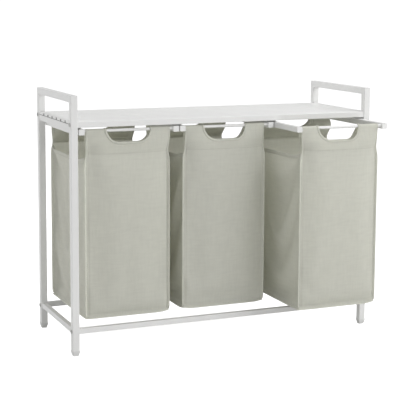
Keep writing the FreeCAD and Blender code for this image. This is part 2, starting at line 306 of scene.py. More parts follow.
# ---------------- mesh helpers
def add_object(name, data):
    made = bpy.data.objects.new(name, data)
    bpy.context.scene.collection.objects.link(made)
    return made


def add_mesh(name, verts, faces):
    mesh = bpy.data.meshes.new(name)
    mesh.from_pydata([tuple(v) for v in verts], [], faces)
    return add_object(name, mesh)


def add_piece(name, body, material, parts):
    """A smooth mesh piece that rides on a body, from parts made of vertices, faces and uvs.

    uvs holds one (u, v) in metres per face corner.
    """
    verts, faces, uvs = join_parts(parts)
    piece = add_mesh(name, verts, faces)
    mesh = piece.data
    mesh.uv_layers.new(name="cloth").data.foreach_set("uv", np.asarray(uvs, np.float32).ravel())
    mesh.polygons.foreach_set("use_smooth", [True] * len(mesh.polygons))
    mesh.materials.append(material)
    mesh.update()
    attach(piece, body)
    return piece


def unit(vectors):
    return vectors / np.linalg.norm(vectors, axis=1)[:, None]


def add_bag_piece(bag, kind, material, parts):
    return add_piece(f"{bag.name}_bag_{kind}", bag.name + "_carrier", material, parts)


def looped(line):
    """A line with its first point again at its end."""
    return np.concatenate([line, line[:1]])


def repeated(direction, count):
    """The same direction at each point of a line."""
    return np.tile(np.array(direction, float), (count, 1))


def ring_faces(rings, around, start=0):
    """Quads between rings of points that follow each other, from the vertex numbered start."""
    return [(start + r * around + k, start + r * around + (k + 1) % around,
             start + (r + 1) * around + (k + 1) % around, start + (r + 1) * around + k)
            for r in range(rings - 1) for k in range(around)]


def rounded_section(width, height, radius, steps=3):
    """Points of a rounded rectangle, counter-clockwise round its middle."""
    points = []
    for turn, (sx, sy) in enumerate(((1, 1), (-1, 1), (-1, -1), (1, -1))):
        for step in range(steps + 1):
            angle = (turn + step / steps) * math.pi / 2
            points.append((sx * (width / 2 - radius) + radius * math.cos(angle),
                           sy * (height / 2 - radius) + radius * math.sin(angle)))
    return points


def carried(shape, path, *axes):
    """Copies a shape's points to each point of a path, with the path's axes given there."""
    verts = path[:, None, :]
    for k, axis in enumerate(axes):
        verts = verts + axis[:, None, :] * shape[None, :, k:k + 1]
    return verts.reshape(-1, 3)


def run_along(points):
    """How far along a line each of its points is."""
    return np.concatenate([[0], np.cumsum(np.linalg.norm(np.diff(points, axis=0), axis=1))])


def sweep(path, across, up, section, closed=False):
    """Carries a section along a path, with its two axes given at each point of the path.

    Returns vertices, faces and one (u, v) per face corner: v along the path, u round it.
    """
    count, around = len(path), len(section)
    shape = np.array(section)
    along, round_it = run_along(looped(path)), run_along(looped(shape))
    faces, uvs = [], []
    for i in range(count if closed else count - 1):
        k = (i + 1) % count
        for j in range(around):
            m = (j + 1) % around
            faces.append((i * around + j, i * around + m, k * around + m, k * around + j))
            uvs += [(round_it[j], along[i]), (round_it[j + 1], along[i]),
                    (round_it[j + 1], along[i + 1]), (round_it[j], along[i + 1])]
    if not closed:
        for first, order in ((0, -1), ((count - 1) * around, 1)):
            faces.append(tuple(first + j for j in range(around))[::order])
            uvs += [tuple(p) for p in shape[::order]]
    return carried(shape, path, across, up), faces, uvs


def join_parts(parts):
    """Joins (vertices, faces, uvs) into one such set."""
    verts, faces, uvs, start = [], [], [], 0
    for v, f, uv in parts:
        verts.append(v)
        faces += [tuple(i + start for i in face) for face in f]
        uvs += uv
        start += len(v)
    return np.concatenate(verts), faces, uvs


def between(places, known, points):
    """Points at places along a line, from its points at known places."""
    return np.stack([np.interp(places, known, points[:, k]) for k in range(3)], 1)


def resample(points, pitch):
    """Points at an even pitch along a polyline, with the direction at each."""
    points = np.asarray(points, float)
    lengths = run_along(points)
    count = max(int(lengths[-1] / pitch), 1)
    at = (np.arange(count) + 0.5) * lengths[-1] / count
    direction = between(at + pitch / 3, lengths, points) - between(at - pitch / 3, lengths, points)
    return between(at, lengths, points), unit(direction)


def stitches(points, normals):
    """Short raised stitches along a line on the cloth."""
    at, direction = resample(points, STITCH_PITCH)
    normal = between(np.linspace(0, 1, len(at)), np.linspace(0, 1, len(points)), np.asarray(normals))
    side = unit(np.cross(direction, normal))
    normal = np.cross(side, direction)
    # one stitch: two ends that dive into the cloth, and three rings between them
    rings = ((-0.36, 0.8, 0.1), (0.0, 1.0, 0.55), (0.36, 0.8, 0.1))
    around = 5
    template = [(-0.5, 0.0, -1.1)]
    for place, width, lift in rings:
        for k in range(around):
            angle = 2 * math.pi * k / around
            template.append((place, width * math.cos(angle), lift + width * math.sin(angle)))
    template.append((0.5, 0.0, -1.1))
    template = np.array(template) * (STITCH, THREAD, THREAD)
    last = len(template) - 1
    one = [(0, 1 + (k + 1) % around, 1 + k) for k in range(around)]
    one += ring_faces(len(rings), around, 1)
    one += [(last - around + k, last - around + (k + 1) % around, last) for k in range(around)]
    faces = [tuple(i + s * (last + 1) for i in face) for s in range(len(at)) for face in one]
    uvs = [(0.0, 0.0)] * sum(len(f) for f in faces)
    return carried(template, at, direction, side, normal), faces, uvs


# ---------------- the shape of a bag
def smooth(t):
    """Goes from 0 to 1 with a soft start and a soft end."""
    return t * t * (3 - 2 * t)


def soft_start(t, softness=0.15):
    """Goes from 0 to 1 with a soft start and a straight run after it."""
    return (np.sqrt(t * t + softness ** 2) - softness) / (math.sqrt(1 + softness ** 2) - softness)


def directions(angles):
    """(cos, sin) of angles in degrees."""
    return [(math.cos(angle), math.sin(angle)) for angle in np.radians(angles)]


class Bag:
    """One bag's sizes and places, from its CAD solid and its carrier's rods."""

    def __init__(self, name):
        self.name = name
        hang = HANGS[name]
        low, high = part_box(name + "_bag")
        self.x = (low.x + high.x) / 2
        self.half = FLAP_HALF + EDGE_ROUND
        self.flap = FLAP_HALF
        self.aside, self.wide = np.array(hang["aside"]) * MM, np.array(hang["half"]) * MM
        self.slid, self.notch_aside = np.array(hang["slid"]) * MM, np.array(hang["notch"]) * MM
        self.notch_low = {-1: hang["low"] * MM, 1: REAR_NOTCH_LOW}
        self.lift = [value * MM for value in hang["lift"]]
        self.bottom = low.z + CLOTH / 2
        self.rod_y, self.panel_y, self.slack = {}, {}, {}
        for (end, sign), inside, slack in zip(ENDS.items(), hang["inside"], hang["slack"]):
            a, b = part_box(f"{name}_carrier_{end}_rod")
            self.rod_y[sign] = (a.y + b.y) / 2
            self.rod_z = (a.z + b.z) / 2
            self.loop = (b.z - a.z) / 2 + ROD_GAP + CLOTH / 2
            self.panel_y[sign] = self.rod_y[sign] + sign * (self.loop - inside * MM)
            self.slack[sign] = slack * MM
        self.front_y, self.rear_y = self.panel_y[-1], self.panel_y[1]
        self.middle_y = (self.rear_y + self.front_y) / 2
        self.seed = hang["seed"]

    def to_end(self, y):
        """How far places are from the nearer of the front and rear panels."""
        return np.minimum(np.abs(y - self.front_y), np.abs(y - self.rear_y))

    def outer_y(self, sign, z):
        """Place of the front or rear panel, which leans out to the rod above the side panels."""
        lean = np.clip((z - SIDE_TOP + EDGE_ROUND) / (self.rod_z - SIDE_TOP + EDGE_ROUND), 0, 1)
        face = self.rod_y[sign] + sign * self.loop
        return self.panel_y[sign] + (face - self.panel_y[sign]) * soft_start(lean)

    def inner_y(self, sign, z):
        """Place of the sleeve's inner layer, from the rod's far side down to the seam."""
        rise = np.clip((z - STITCH_LEVEL) / (self.rod_z - STITCH_LEVEL), 0, 1)
        seam = self.outer_y(sign, z) - sign * CLOTH * 1.15
        straight = seam + (self.rod_y[sign] - sign * self.loop - seam) * soft_start(rise)
        return straight - sign * self.slack[sign] * math.sin(math.pi * rise ** 1.3) ** 1.2

    def over_rod(self, sign):
        """Places on the sleeve's arc over the rod, from the outer layer to the inner one."""
        middle, loop = self.rod_y[sign], self.loop
        return [(middle + sign * loop * cos, self.rod_z + loop * sin)
                for cos, sin in directions((30, 60, 90, 120, 150))]

    def notch_height(self, sign):
        """From a notch's lower edge to the top of the sleeve."""
        return self.rod_z + self.loop - self.notch_low[sign]

    def notch(self, sign, z):
        """Half of a notch's width at a level."""
        rise = np.clip((z - self.notch_low[sign]) / self.notch_height(sign), 0, 1)
        return NOTCH_FLAT + (NOTCH_HALF - NOTCH_FLAT) * np.sqrt(1 - (1 - rise) ** 2)

    def shaped(self, points):
        """Widens and shifts the body and the sleeves, and lifts the body's lower corners."""
        out = points.copy()
        x = points[:, 0] - self.x
        rear = np.clip((points[:, 1] - self.rod_y[-1]) / (self.rod_y[1] - self.rod_y[-1]), 0, 1)

        def at_depth(pair):
            return pair[0] + (pair[1] - pair[0]) * rear

        low = at_depth(SLEEVE_LOW)
        below = smooth(np.clip((low - points[:, 2]) / (low - SIDE_TOP), 0, 1))
        near_notch = np.clip((self.flap - np.abs(x)) / (self.flap - NOTCH_HALF), 0, 1)
        sleeve_x = at_depth(self.slid) + at_depth(self.notch_aside) * near_notch
        sleeve_x += x * at_depth(SLEEVE_SCALE)
        body_x = at_depth(self.aside) + x * at_depth(self.wide) / self.half
        out[:, 0] = self.x + sleeve_x * (1 - below) + body_x * below
        dx = self.half - np.abs(x)
        dy = self.to_end(points[:, 1])
        near = np.clip(1 - np.hypot(dx, dy) / CORNER_REACH, 0, 1) ** 2
        low = np.clip(1 - (points[:, 2] - self.bottom) / CORNER_REACH, 0, 1)
        out[:, 2] += near * low * np.where(x < 0, self.lift[0], self.lift[1])
        return out


def cubic(grid, rows, cols, wrap):
    """Smooth values of a grid of vectors at fractional rows and columns."""
    height, width = grid.shape[:2]

    def taps(t, size, around):
        base = np.floor(t).astype(int)
        f = t - base
        weights = (-0.5 * f + f ** 2 - 0.5 * f ** 3, 1 - 2.5 * f ** 2 + 1.5 * f ** 3,
                   0.5 * f + 2 * f ** 2 - 1.5 * f ** 3, -0.5 * f ** 2 + 0.5 * f ** 3)
        places = [base + k for k in (-1, 0, 1, 2)]
        places = [p % size if around else np.clip(p, 0, size - 1) for p in places]
        return list(zip(places, weights))

    total = np.zeros((len(rows), 3))
    for r, wr in taps(np.clip(rows, 0, height - 1), height, False):
        for c, wc in taps(cols, width, wrap):
            total += grid[r, c] * (wr * wc)[:, None]
    return total


# ---------------- hanging a bag by cloth simulation
SIM_FRONT, SIM_SIDE = 20, 26  # cells across the front and side panels
SIM_ROWS, SIM_FLAP_ROWS = 36, 6  # and up the body and up a flap
SIM_FRAMES = 26
SIM_START = 12 * MM  # the panels are free from this far above the bottom
SIM_CLOTH = {"quality": 7, "mass": 0.3, "tension_stiffness": 18, "compression_stiffness": 18,
             "shear_stiffness": 8, "bending_stiffness": 6, "air_damping": 4,
             "vertex_group_mass": "pins", "use_pressure": True, "uniform_pressure_force": 0.25}
SLACK = 3.2 * MM  # depth of the folds that the cloth starts with
FOLD_WAVES = ((9, 5, 1.0), (21, 11, 0.5))  # per metre across and up, and how strong
FOLD_GAIN = 1.5  # brings the waves' sum to the full depth
FOLD_TOP, FOLD_FADE = 0.49, 0.1  # the end panels' folds fade from this level, over this height
MOST_SAG = 9 * MM  # a point moves no further than this
SEAM_HOLD = 0.9  # share of a seam's sag that its stiffness takes up


class Drape:
    """How far a bag's cloth moves from its cut shape when it hangs."""

    def __init__(self, bag):
        self.bag = bag
        self.low = bag.bottom + SIM_START
        self.columns = 2 * (SIM_FRONT + SIM_SIDE)
        body, flaps = self.cut_shape()
        rest = np.concatenate([body.reshape(-1, 3)] + [flaps[s].reshape(-1, 3) for s in (-1, 1)])
        loose = rest + self.folds(rest)
        hung = self.simulate(loose)
        moved = hung - rest
        far = np.linalg.norm(moved, axis=1)[:, None]
        moved *= np.minimum(1, MOST_SAG / np.maximum(far, 1e-9))
        size, half = body.size // 3, flaps[1].size // 3
        ring = moved[:size].reshape(body.shape)
        ring = np.concatenate([ring, ring[:, :1]], axis=1)
        corners = np.cumsum([0, SIM_FRONT, SIM_SIDE, SIM_FRONT, SIM_SIDE])
        panels = [self.steadied(ring[:, a:b + 1])[:, :-1] for a, b in zip(corners, corners[1:])]
        self.body = np.concatenate(panels, axis=1)
        halves = {-1: moved[size:size + half], 1: moved[size + half:]}
        self.flaps = {end: self.steadied(part.reshape(flaps[end].shape)) for end, part in halves.items()}

    def steadied(self, panel):
        """A panel's movement without most of what its two stiff seams do."""
        share = np.linspace(0, 1, panel.shape[1])[None, :, None]
        return panel - SEAM_HOLD * (panel[:, :1] * (1 - share) + panel[:, -1:] * share)

    def cut_shape(self):
        """Grids of the body's wall and of the two flaps above the side panels."""
        bag = self.bag
        front = np.linspace(-bag.half, bag.half, SIM_FRONT + 1)[:-1]
        side = np.linspace(bag.front_y, bag.rear_y, SIM_SIDE + 1)[:-1]
        turned = bag.front_y + bag.rear_y - side
        ring = ([(bag.x + x, bag.front_y) for x in front] + [(bag.x + bag.half, y) for y in side]
                + [(bag.x - x, bag.rear_y) for x in front] + [(bag.x - bag.half, y) for y in turned])
        levels = np.linspace(self.low, SIDE_TOP, SIM_ROWS + 1)
        body = np.array([[(x, y, z) for x, y in ring] for z in levels])
        flaps = {}
        across = np.linspace(-bag.half, bag.half, SIM_FRONT + 1)
        for sign in (-1, 1):
            rows = np.linspace(SIDE_TOP, bag.rod_z, SIM_FLAP_ROWS + 1)[1:]
            flaps[sign] = np.array([[(bag.x - sign * x, bag.outer_y(sign, z), z) for x in across]
                                    for z in rows])
        return body, flaps

    def folds(self, points):
        """Soft random folds, strongest in the middle of each panel and none at its edges."""
        bag, out = self.bag, np.zeros_like(points)
        depth = (bag.rear_y - bag.front_y) / 2
        shift = Vector((bag.seed * 7.3, bag.seed * 3.1, bag.seed * 5.7))
        for i, (x, y, z) in enumerate(points):
            u, v = (x - bag.x) / bag.half, (y - bag.middle_y) / depth
            on_end = abs(v) >= abs(u) or z > SIDE_TOP
            edge = 1 - (abs(u) if on_end else abs(v))
            height = min(max((z - self.low) / (SIDE_TOP - self.low), 0), 1)
            window = math.sqrt(max(edge, 0)) * min(1, height * 7)
            window *= 1 if height < 0.85 or not on_end else max(0, 1 - (z - FOLD_TOP) / FOLD_FADE)
            wave = sum(strength * noise.noise(Vector((x * wide, y * wide, z * tall)) + shift)
                       for wide, tall, strength in FOLD_WAVES)
            out[i, 1 if on_end else 0] = SLACK * window * wave * FOLD_GAIN
        return out

    def simulate(self, points):
        """Lets the loose cloth hang from its rods under gravity, and returns where its points end."""
        scene = bpy.context.scene
        rows, cols = SIM_ROWS + 1, self.columns
        faces = ring_faces(rows, cols)
        wide, top = SIM_FRONT + 1, (rows - 1) * cols
        for k, first in ((0, 0), (1, SIM_FRONT + SIM_SIDE)):
            start = rows * cols + k * SIM_FLAP_ROWS * wide
            below = [top + (first + c) % cols for c in range(wide)]
            for r in range(SIM_FLAP_ROWS):
                row = [start + r * wide + c for c in range(wide)]
                faces += [(below[c], below[c + 1], row[c + 1], row[c]) for c in range(wide - 1)]
                below = row
        sim = add_mesh("sim", points, faces)
        pins = sim.vertex_groups.new(name="pins")
        held = [i for i, p in enumerate(points) if p[2] > self.bag.rod_z - 1 * MM or p[2] < self.low + 1 * MM]
        pins.add(held, 1.0, "REPLACE")
        cloth_modifier = sim.modifiers.new("cloth", "CLOTH")
        for key, value in SIM_CLOTH.items():
            setattr(cloth_modifier.settings, key, value)
        cloth_modifier.collision_settings.use_self_collision = False
        cloth_modifier.point_cache.frame_start = 1
        cloth_modifier.point_cache.frame_end = SIM_FRAMES
        for step in range(1, SIM_FRAMES + 1):
            scene.frame_set(step)
        done = sim.evaluated_get(bpy.context.evaluated_depsgraph_get())
        found = np.array([v.co for v in done.data.vertices])
        bpy.data.meshes.remove(sim.data)
        scene.frame_set(1)
        return found

    def fade(self, z):
        """How much of the flap's movement the sleeve's inner layer shares at a level."""
        return np.clip((self.bag.rod_z - z) / (self.bag.rod_z - STITCH_LEVEL), 0, 1)

    def hang(self, points, end=None, share=1):
        """Where points of the cut bag hang. end is -1 or 1 for points of that end's flap."""
        return self.bag.shaped(points) + self.offset(points, end) * np.reshape(share, (-1, 1))

    def offset(self, points, end=None):
        """How far points near the cut cloth move."""
        bag = self.bag
        x, y, z = points[:, 0] - bag.x, points[:, 1], points[:, 2]
        on_end = bag.to_end(y) <= bag.half - np.abs(x)
        front = y < bag.middle_y
        if end is not None:
            on_end, front = np.full(len(points), True), np.full(len(points), end < 0)
        across = np.clip(x / bag.half, -1, 1)
        deep = np.clip((y - bag.front_y) / (bag.rear_y - bag.front_y), 0, 1)
        place = np.where(on_end,
                         np.where(front, (across + 1) / 2 * SIM_FRONT,
                                  SIM_FRONT + SIM_SIDE + (1 - across) / 2 * SIM_FRONT),
                         np.where(x > 0, SIM_FRONT + deep * SIM_SIDE,
                                  2 * SIM_FRONT + SIM_SIDE + (1 - deep) * SIM_SIDE))
        rows = (z - self.low) / (SIDE_TOP - self.low) * SIM_ROWS
        moved = cubic(self.body, rows, place, True)
        moved *= np.clip(1 + rows, 0, 1)[:, None]
        if end is not None:
            up = (z - SIDE_TOP) / (bag.rod_z - SIDE_TOP) * SIM_FLAP_ROWS
            cols = (1 - end * across) / 2 * SIM_FRONT
            top_row = self.body[-1]
            start = 0 if end < 0 else SIM_FRONT + SIM_SIDE
            joined = np.concatenate([[[top_row[(start + c) % self.columns] for c in range(SIM_FRONT + 1)]],
                                     self.flaps[end]])
            moved = np.where((z > SIDE_TOP)[:, None], cubic(joined, up, cols, False), moved)
        return moved


# ---------------- the bag's pieces
WING_CELLS, NOTCH_CELLS = 8, 6  # even places beside a hand notch, and cells across it
SIDE_CELLS, WALL_ROWS = 26, 44  # even places across a side panel and up the bag's wall
SLEEVE_LEVELS = (0.568, 0.579)  # levels of the rows between the sleeve's seam and the notch
TURN_LOW = 22 * MM  # this far under SIDE_TOP, an upright seam starts to turn from
TURN_RUN = 40 * MM  # the bag's corner to the flap's edge, and takes this height
SECTION_ROUND = 0.42  # a seam's rounding as a share of its thickness
STITCH_LINE = 0.42 * FLANGE  # from a pinched seam's root to its stitches
HEM_PLACES = 40
SLEEVE_PLACES = 30


def columns_between(low, high, evenly):
    """Places across a panel: some evenly spaced, and close ones at the crease near each end."""
    start = [low + step for step in (0, CREASE_WIDTH / 2, CREASE_WIDTH, 2 * CREASE_WIDTH)]
    even = list(np.linspace(low + 4 * CREASE_WIDTH, high - 4 * CREASE_WIDTH, evenly))
    return start + even + [low + high - place for place in reversed(start)]


CORNERS = ((1, -1, 270), (1, 1, 0), (-1, 1, 90), (-1, -1, 180))  # side, end, first angle


def crease(distance):
    """How far a seam draws the cloth in, by the distance from the seam."""
    return CREASE_DEPTH * np.exp(-((distance - CREASE) / (0.8 * CREASE_WIDTH)) ** 2)


def bag_shell(bag, drape):
    """The bag's cloth as one open shell: wall, bottom, and two flaps that loop round the rods."""
    wing = columns_between(-bag.flap, -NOTCH_FLAT, WING_CELLS)
    wing = [x for x in wing if x < -NOTCH_FLAT - 3.5 * CREASE_WIDTH] + [-NOTCH_FLAT]
    middle = list(np.linspace(-NOTCH_FLAT, NOTCH_FLAT, NOTCH_CELLS + 1))[1:-1]
    front = np.array(wing + middle + [-x for x in reversed(wing)])
    first, last = bag.front_y + EDGE_ROUND, bag.rear_y - EDGE_ROUND
    side = np.array(columns_between(first, last, SIDE_CELLS))

    ring = []  # x, y, outward normal
    panels = ([(x, bag.front_y, 0, -1) for x in front], [(bag.half, y, 1, 0) for y in side],
              [(x, bag.rear_y, 0, 1) for x in front[::-1]], [(-bag.half, y, -1, 0) for y in side[::-1]])
    for panel, (sx, sy, start) in zip(panels, CORNERS):
        ring += panel
        for x, y in directions((start + 30, start + 60)):
            ring.append((sx * bag.flap + EDGE_ROUND * x, (first if sy < 0 else last) + EDGE_ROUND * y, x, y))
    ring = np.array(ring)
    count = len(ring)
    around = run_along(looped(ring[:, :2]))

    verts, uv, faces, uvs = [], [], [], []

    def put(points, coordinates):
        start = len(verts)
        verts.extend(points)
        uv.extend(coordinates)
        return list(range(start, start + len(points)))

    def fill(lower, upper, closed=False):
        """Quads between two rows of the same length."""
        for j in range(len(lower) - (0 if closed else 1)):
            k = (j + 1) % len(lower)
            wrap = (around[-1], 0) if closed and k == 0 else (0, 0)
            faces.append((lower[j], lower[k], upper[k], upper[j]))
            uvs.extend([uv[lower[j]], np.add(uv[lower[k]], wrap), np.add(uv[upper[k]], wrap), uv[upper[j]]])

    def wall(level, inward, path):
        """One row round the whole bag, drawn in by the seams and by the bottom's rounding."""
        from_corner = np.where(np.abs(ring[:, 2]) > 0.5,
                               bag.to_end(ring[:, 1]), bag.half - np.abs(ring[:, 0]))
        pulled = crease(from_corner) + crease(level - bag.bottom - BOTTOM_SEAM) + inward
        flat = ring[:, :2] - ring[:, 2:] * pulled[:, None]
        points = np.column_stack([flat[:, 0] + bag.x, flat[:, 1], np.full(count, level)])
        return put(drape.hang(points), [(place, path) for place in around[:-1]])

    # the bottom panel from its middle outwards, then the rounded lower edge and the wall
    edge = ring[:, :2] - ring[:, 2:] * EDGE_ROUND + (bag.x, 0)
    last_row = None
    for share in (0.25, 0.5, 0.75, 0.93, 1.0):
        flat = (edge - (bag.x, bag.middle_y)) * share
        points = np.column_stack([flat + (bag.x, bag.middle_y), np.full(count, bag.bottom)])
        row = put(bag.shaped(points), flat)
        if last_row:
            fill(last_row, row, True)
        else:
            faces.append(tuple(row)[::-1])
            uvs.extend([uv[i] for i in reversed(row)])
        last_row = row
    for angle in np.radians((30, 60, 90)):
        row = wall(bag.bottom + EDGE_ROUND * (1 - math.cos(angle)), EDGE_ROUND * (1 - math.sin(angle)),
                   EDGE_ROUND * angle)
        fill(last_row, row, True)
        last_row = row
    seam = bag.bottom + BOTTOM_SEAM + CREASE
    levels = [seam - CREASE_WIDTH, seam, seam + CREASE_WIDTH]
    levels += list(np.linspace(seam + 4 * CREASE_WIDTH, SIDE_TOP, WALL_ROWS))
    for level in levels:
        row = wall(level, 0, level - bag.bottom)
        fill(last_row, row, True)
        last_row = row

    # the flaps: up the outside, over the rod and down the inside
    low_levels = [STITCH_LEVEL - CREASE_WIDTH, STITCH_LEVEL, STITCH_LEVEL + CREASE_WIDTH, *SLEEVE_LEVELS]
    rear_start = len(front) + 2 + len(side) + 2
    for sign, start in ((-1, 0), (1, rear_start)):
        rise = 1 - np.cos(np.radians(np.linspace(0, 81, 9)))
        notch_levels = bag.notch_low[sign] + bag.notch_height(sign) * rise
        notch_levels[-1] = bag.rod_z
        outside = [(z, False) for z in low_levels] + [(z, k > 0) for k, z in enumerate(notch_levels)]
        profile = [(bag.outer_y(sign, z), z, cut) for z, cut in outside]
        profile += [(y, z, True) for y, z in bag.over_rod(sign)]
        profile += [(bag.inner_y(sign, z), z, cut) for z, cut in reversed(outside)]
        profile.append((bag.inner_y(sign, SLEEVE_END), SLEEVE_END, False))
        below = last_row[start:start + len(front)]
        below_cut, path, before = False, SIDE_TOP - bag.bottom, (bag.outer_y(sign, SIDE_TOP), SIDE_TOP)
        for step, (y, z, cut) in enumerate(profile):
            path += math.hypot(y - before[0], z - before[1])
            before = (y, z)
            size = np.abs(front)
            if cut:
                ratio = (bag.flap - bag.notch(sign, z)) / (bag.flap - NOTCH_FLAT)
                size = bag.flap - (bag.flap - size) * ratio
            x = np.sign(front) * size * -sign
            outer = step < len(outside)
            points = np.column_stack([x + bag.x, np.full(len(x), y), np.full(len(x), z)])
            if outer and z < SIDE_TOP + 25 * MM:
                points[:, 1] -= sign * crease(bag.half - np.abs(x))
            if outer and z == STITCH_LEVEL:
                points[:, 1] -= sign * SLEEVE_CREASE
            row = put(drape.hang(points, sign, 1 if outer else drape.fade(z)),
                      [(around[start + j] + (size[j] - abs(front[j])) * np.sign(front[j]), path)
                       for j in range(len(x))])
            if cut or below_cut:
                fill(below[:len(wing)], row[:len(wing)])
                fill(below[-len(wing):], row[-len(wing):])
            else:
                fill(below, row)
            below, below_cut = row, cut

    used = sorted({i for face in faces for i in face})
    index = {old: new for new, old in enumerate(used)}
    faces = [tuple(index[i] for i in face) for face in faces]
    verts = [verts[i] for i in used]
    piece = add_bag_piece(bag, "shell", MATERIALS["bag_cloth"], [(verts, faces, uvs)])
    thick = piece.modifiers.new("thickness", "SOLIDIFY")
    thick.thickness = CLOTH
    thick.offset = 0
    thick.edge_crease_rim = 1.0
    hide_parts(bag.name + "_bag")


def seam_path(bag, drape, sx, sy):
    """An upright seam: up the bag's corner, then along the flap's edge and over the rod.

    Returns the points, the directions in which the seam stands out times its width as a
    share of the widest, the directions across it, and how far it has turned to the flap.
    """
    levels = np.concatenate([np.linspace(bag.bottom + 4 * MM, SIDE_TOP - 14 * MM, 40),
                             np.linspace(SIDE_TOP - 8 * MM, SIDE_TOP + 16 * MM, 7),
                             np.linspace(SIDE_TOP + 24 * MM, bag.rod_z, 6)])
    inside = np.concatenate([np.linspace(bag.rod_z, STITCH_LEVEL, 7), [SLEEVE_END]])
    turn = smooth(np.clip((levels - SIDE_TOP + TURN_LOW) / TURN_RUN, 0, 1))
    inset = EDGE_ROUND * (1 - math.sqrt(0.5)) + 0.4 * MM
    x = (bag.half - inset) * (1 - turn) + (bag.flap - 1 * MM) * turn
    y = np.array([bag.outer_y(sy, z) for z in levels]) - sy * inset * (1 - turn)
    outer = np.column_stack([bag.x + sx * x, y, levels])
    over = np.array([(bag.x + sx * x[-1], y, z) for y, z in bag.over_rod(sy)])
    inner = np.array([(bag.x + sx * x[-1], bag.inner_y(sy, z), z) for z in inside])
    points = np.concatenate([drape.hang(outer, sy), drape.hang(over, sy),
                             drape.hang(inner, sy, drape.fade(inside))])
    turn = np.concatenate([turn, np.ones(len(over) + len(inner))])
    angle = FLANGE_TURN[sx] * (1 - turn)
    out = np.column_stack([sx * np.cos(angle), sy * np.sin(angle), np.zeros(len(turn))])
    side = unit(np.cross(np.gradient(points, axis=0), out))
    width = 1 - (1 - (FLAP_HEM + 1 * MM) / FLANGE) * turn
    return points, out * width[:, None], side * (1 - 0.25 * turn)[:, None], turn


def bottom_path(bag):
    """The root of the seam round the bag's bottom, with its outward and upward directions."""
    points, out = [], []
    for sx, sy, start in CORNERS:
        for way in directions(np.linspace(start, start + 90, 6)):
            points.append((bag.x + sx * (bag.half - CREASE) + CREASE * way[0],
                           bag.panel_y[sy] - sy * CREASE + CREASE * way[1]))
            out.append(way)
        start_point, way = np.array(points[-1]), np.array((-out[-1][1], out[-1][0]))
        run = (2 * bag.half if abs(way[0]) > 0.5 else bag.rear_y - bag.front_y) - 2 * CREASE
        for share in np.arange(1, 20) / 20:
            points.append(tuple(start_point + way * run * share))
            out.append(out[-1])
    out = np.array(out)
    level = np.full(len(points), bag.bottom + BOTTOM_SEAM)
    points = bag.shaped(np.column_stack([np.array(points) - out * 0.6 * MM, level]))
    out, up = np.column_stack([out, np.zeros(len(out))]), repeated((0, 0, 1), len(out))
    cos, sin = math.cos(BOTTOM_TILT), math.sin(BOTTOM_TILT)
    return points, out * cos - up * sin, out * sin + up * cos


def bag_seams(bag, drape):
    """The pinched seams along the upright edges and round the bottom, with their stitches."""
    cloth_parts, thread_parts = [], []
    section = rounded_section(FLANGE, FLANGE_THICK, FLANGE_THICK * SECTION_ROUND)
    for sx in (-1, 1):
        for sy in (-1, 1):
            points, out, side, turn = seam_path(bag, drape, sx, sy)
            swell = np.ones(len(points))
            swell[[0, -1]] = 0.6
            middle = points + out * FLANGE / 2
            cloth_parts.append(sweep(middle, out * swell[:, None], side * swell[:, None], section))
            thread_line = points + out * STITCH_LINE
            body = turn < 0.01
            lift = side * (FLANGE_THICK / 2)
            for face in (-1, 1):
                thread_parts.append(stitches((thread_line + lift * face)[body][1:], (side * face)[body][1:]))
            thread_parts.append(stitches((thread_line + sx * sy * lift)[~body], (sx * sy * side)[~body]))
    points, outward, upward = bottom_path(bag)
    cloth_parts.append(sweep(points + outward * FLANGE / 2, outward, upward, section, closed=True))
    for face in (-1, 1):
        line = points + outward * STITCH_LINE + upward * face * FLANGE_THICK / 2
        thread_parts.append(stitches(looped(line), looped(upward) * face))
    add_bag_piece(bag, "seams", TRIM_CLOTH, cloth_parts)
    return thread_parts


def notch_outline(bag, sign, grow):
    """Half of a notch's edge, from the middle of its lower edge to the rod: x, level."""
    low = bag.notch_low[sign] - grow
    flat = [(x, low) for x in np.linspace(0, NOTCH_FLAT, 5)]
    wide, high = NOTCH_HALF - NOTCH_FLAT + grow, bag.notch_height(sign) + grow
    limit = math.acos(max(-1.0, 1 - (bag.rod_z - low) / high))
    curve = [(NOTCH_FLAT + wide * math.sin(a), low + high * (1 - math.cos(a)))
             for a in np.linspace(0, limit, 12)[1:]]
    return flat + curve


def notch_path(bag, drape, sign, grow):
    """A closed line round a notch through both layers of the sleeve, with its facing directions."""
    half = notch_outline(bag, sign, grow)
    right = [(x, bag.outer_y(sign, z), z, 0) for x, z in half]
    right += [(NOTCH_HALF + grow, y, z, 0) for y, z in bag.over_rod(sign)]
    right += [(x, bag.inner_y(sign, z), z, 1) for x, z in reversed(half)]
    whole = np.array(right[:-1] + [(-x, y, z, inner) for x, y, z, inner in reversed(right)][:-1])
    path, inner = whole[:, :3] + (bag.x, 0, 0), whole[:, 3] > 0
    facing = repeated((0, sign, 0), len(path))
    facing[inner] *= -1
    curved = path[:, 2] > bag.rod_z
    from_rod = path[curved] - [(x, bag.rod_y[sign], bag.rod_z) for x in path[curved, 0]]
    facing[curved] = unit(from_rod)
    return drape.hang(path, sign, np.where(inner, drape.fade(path[:, 2]), 1)), facing


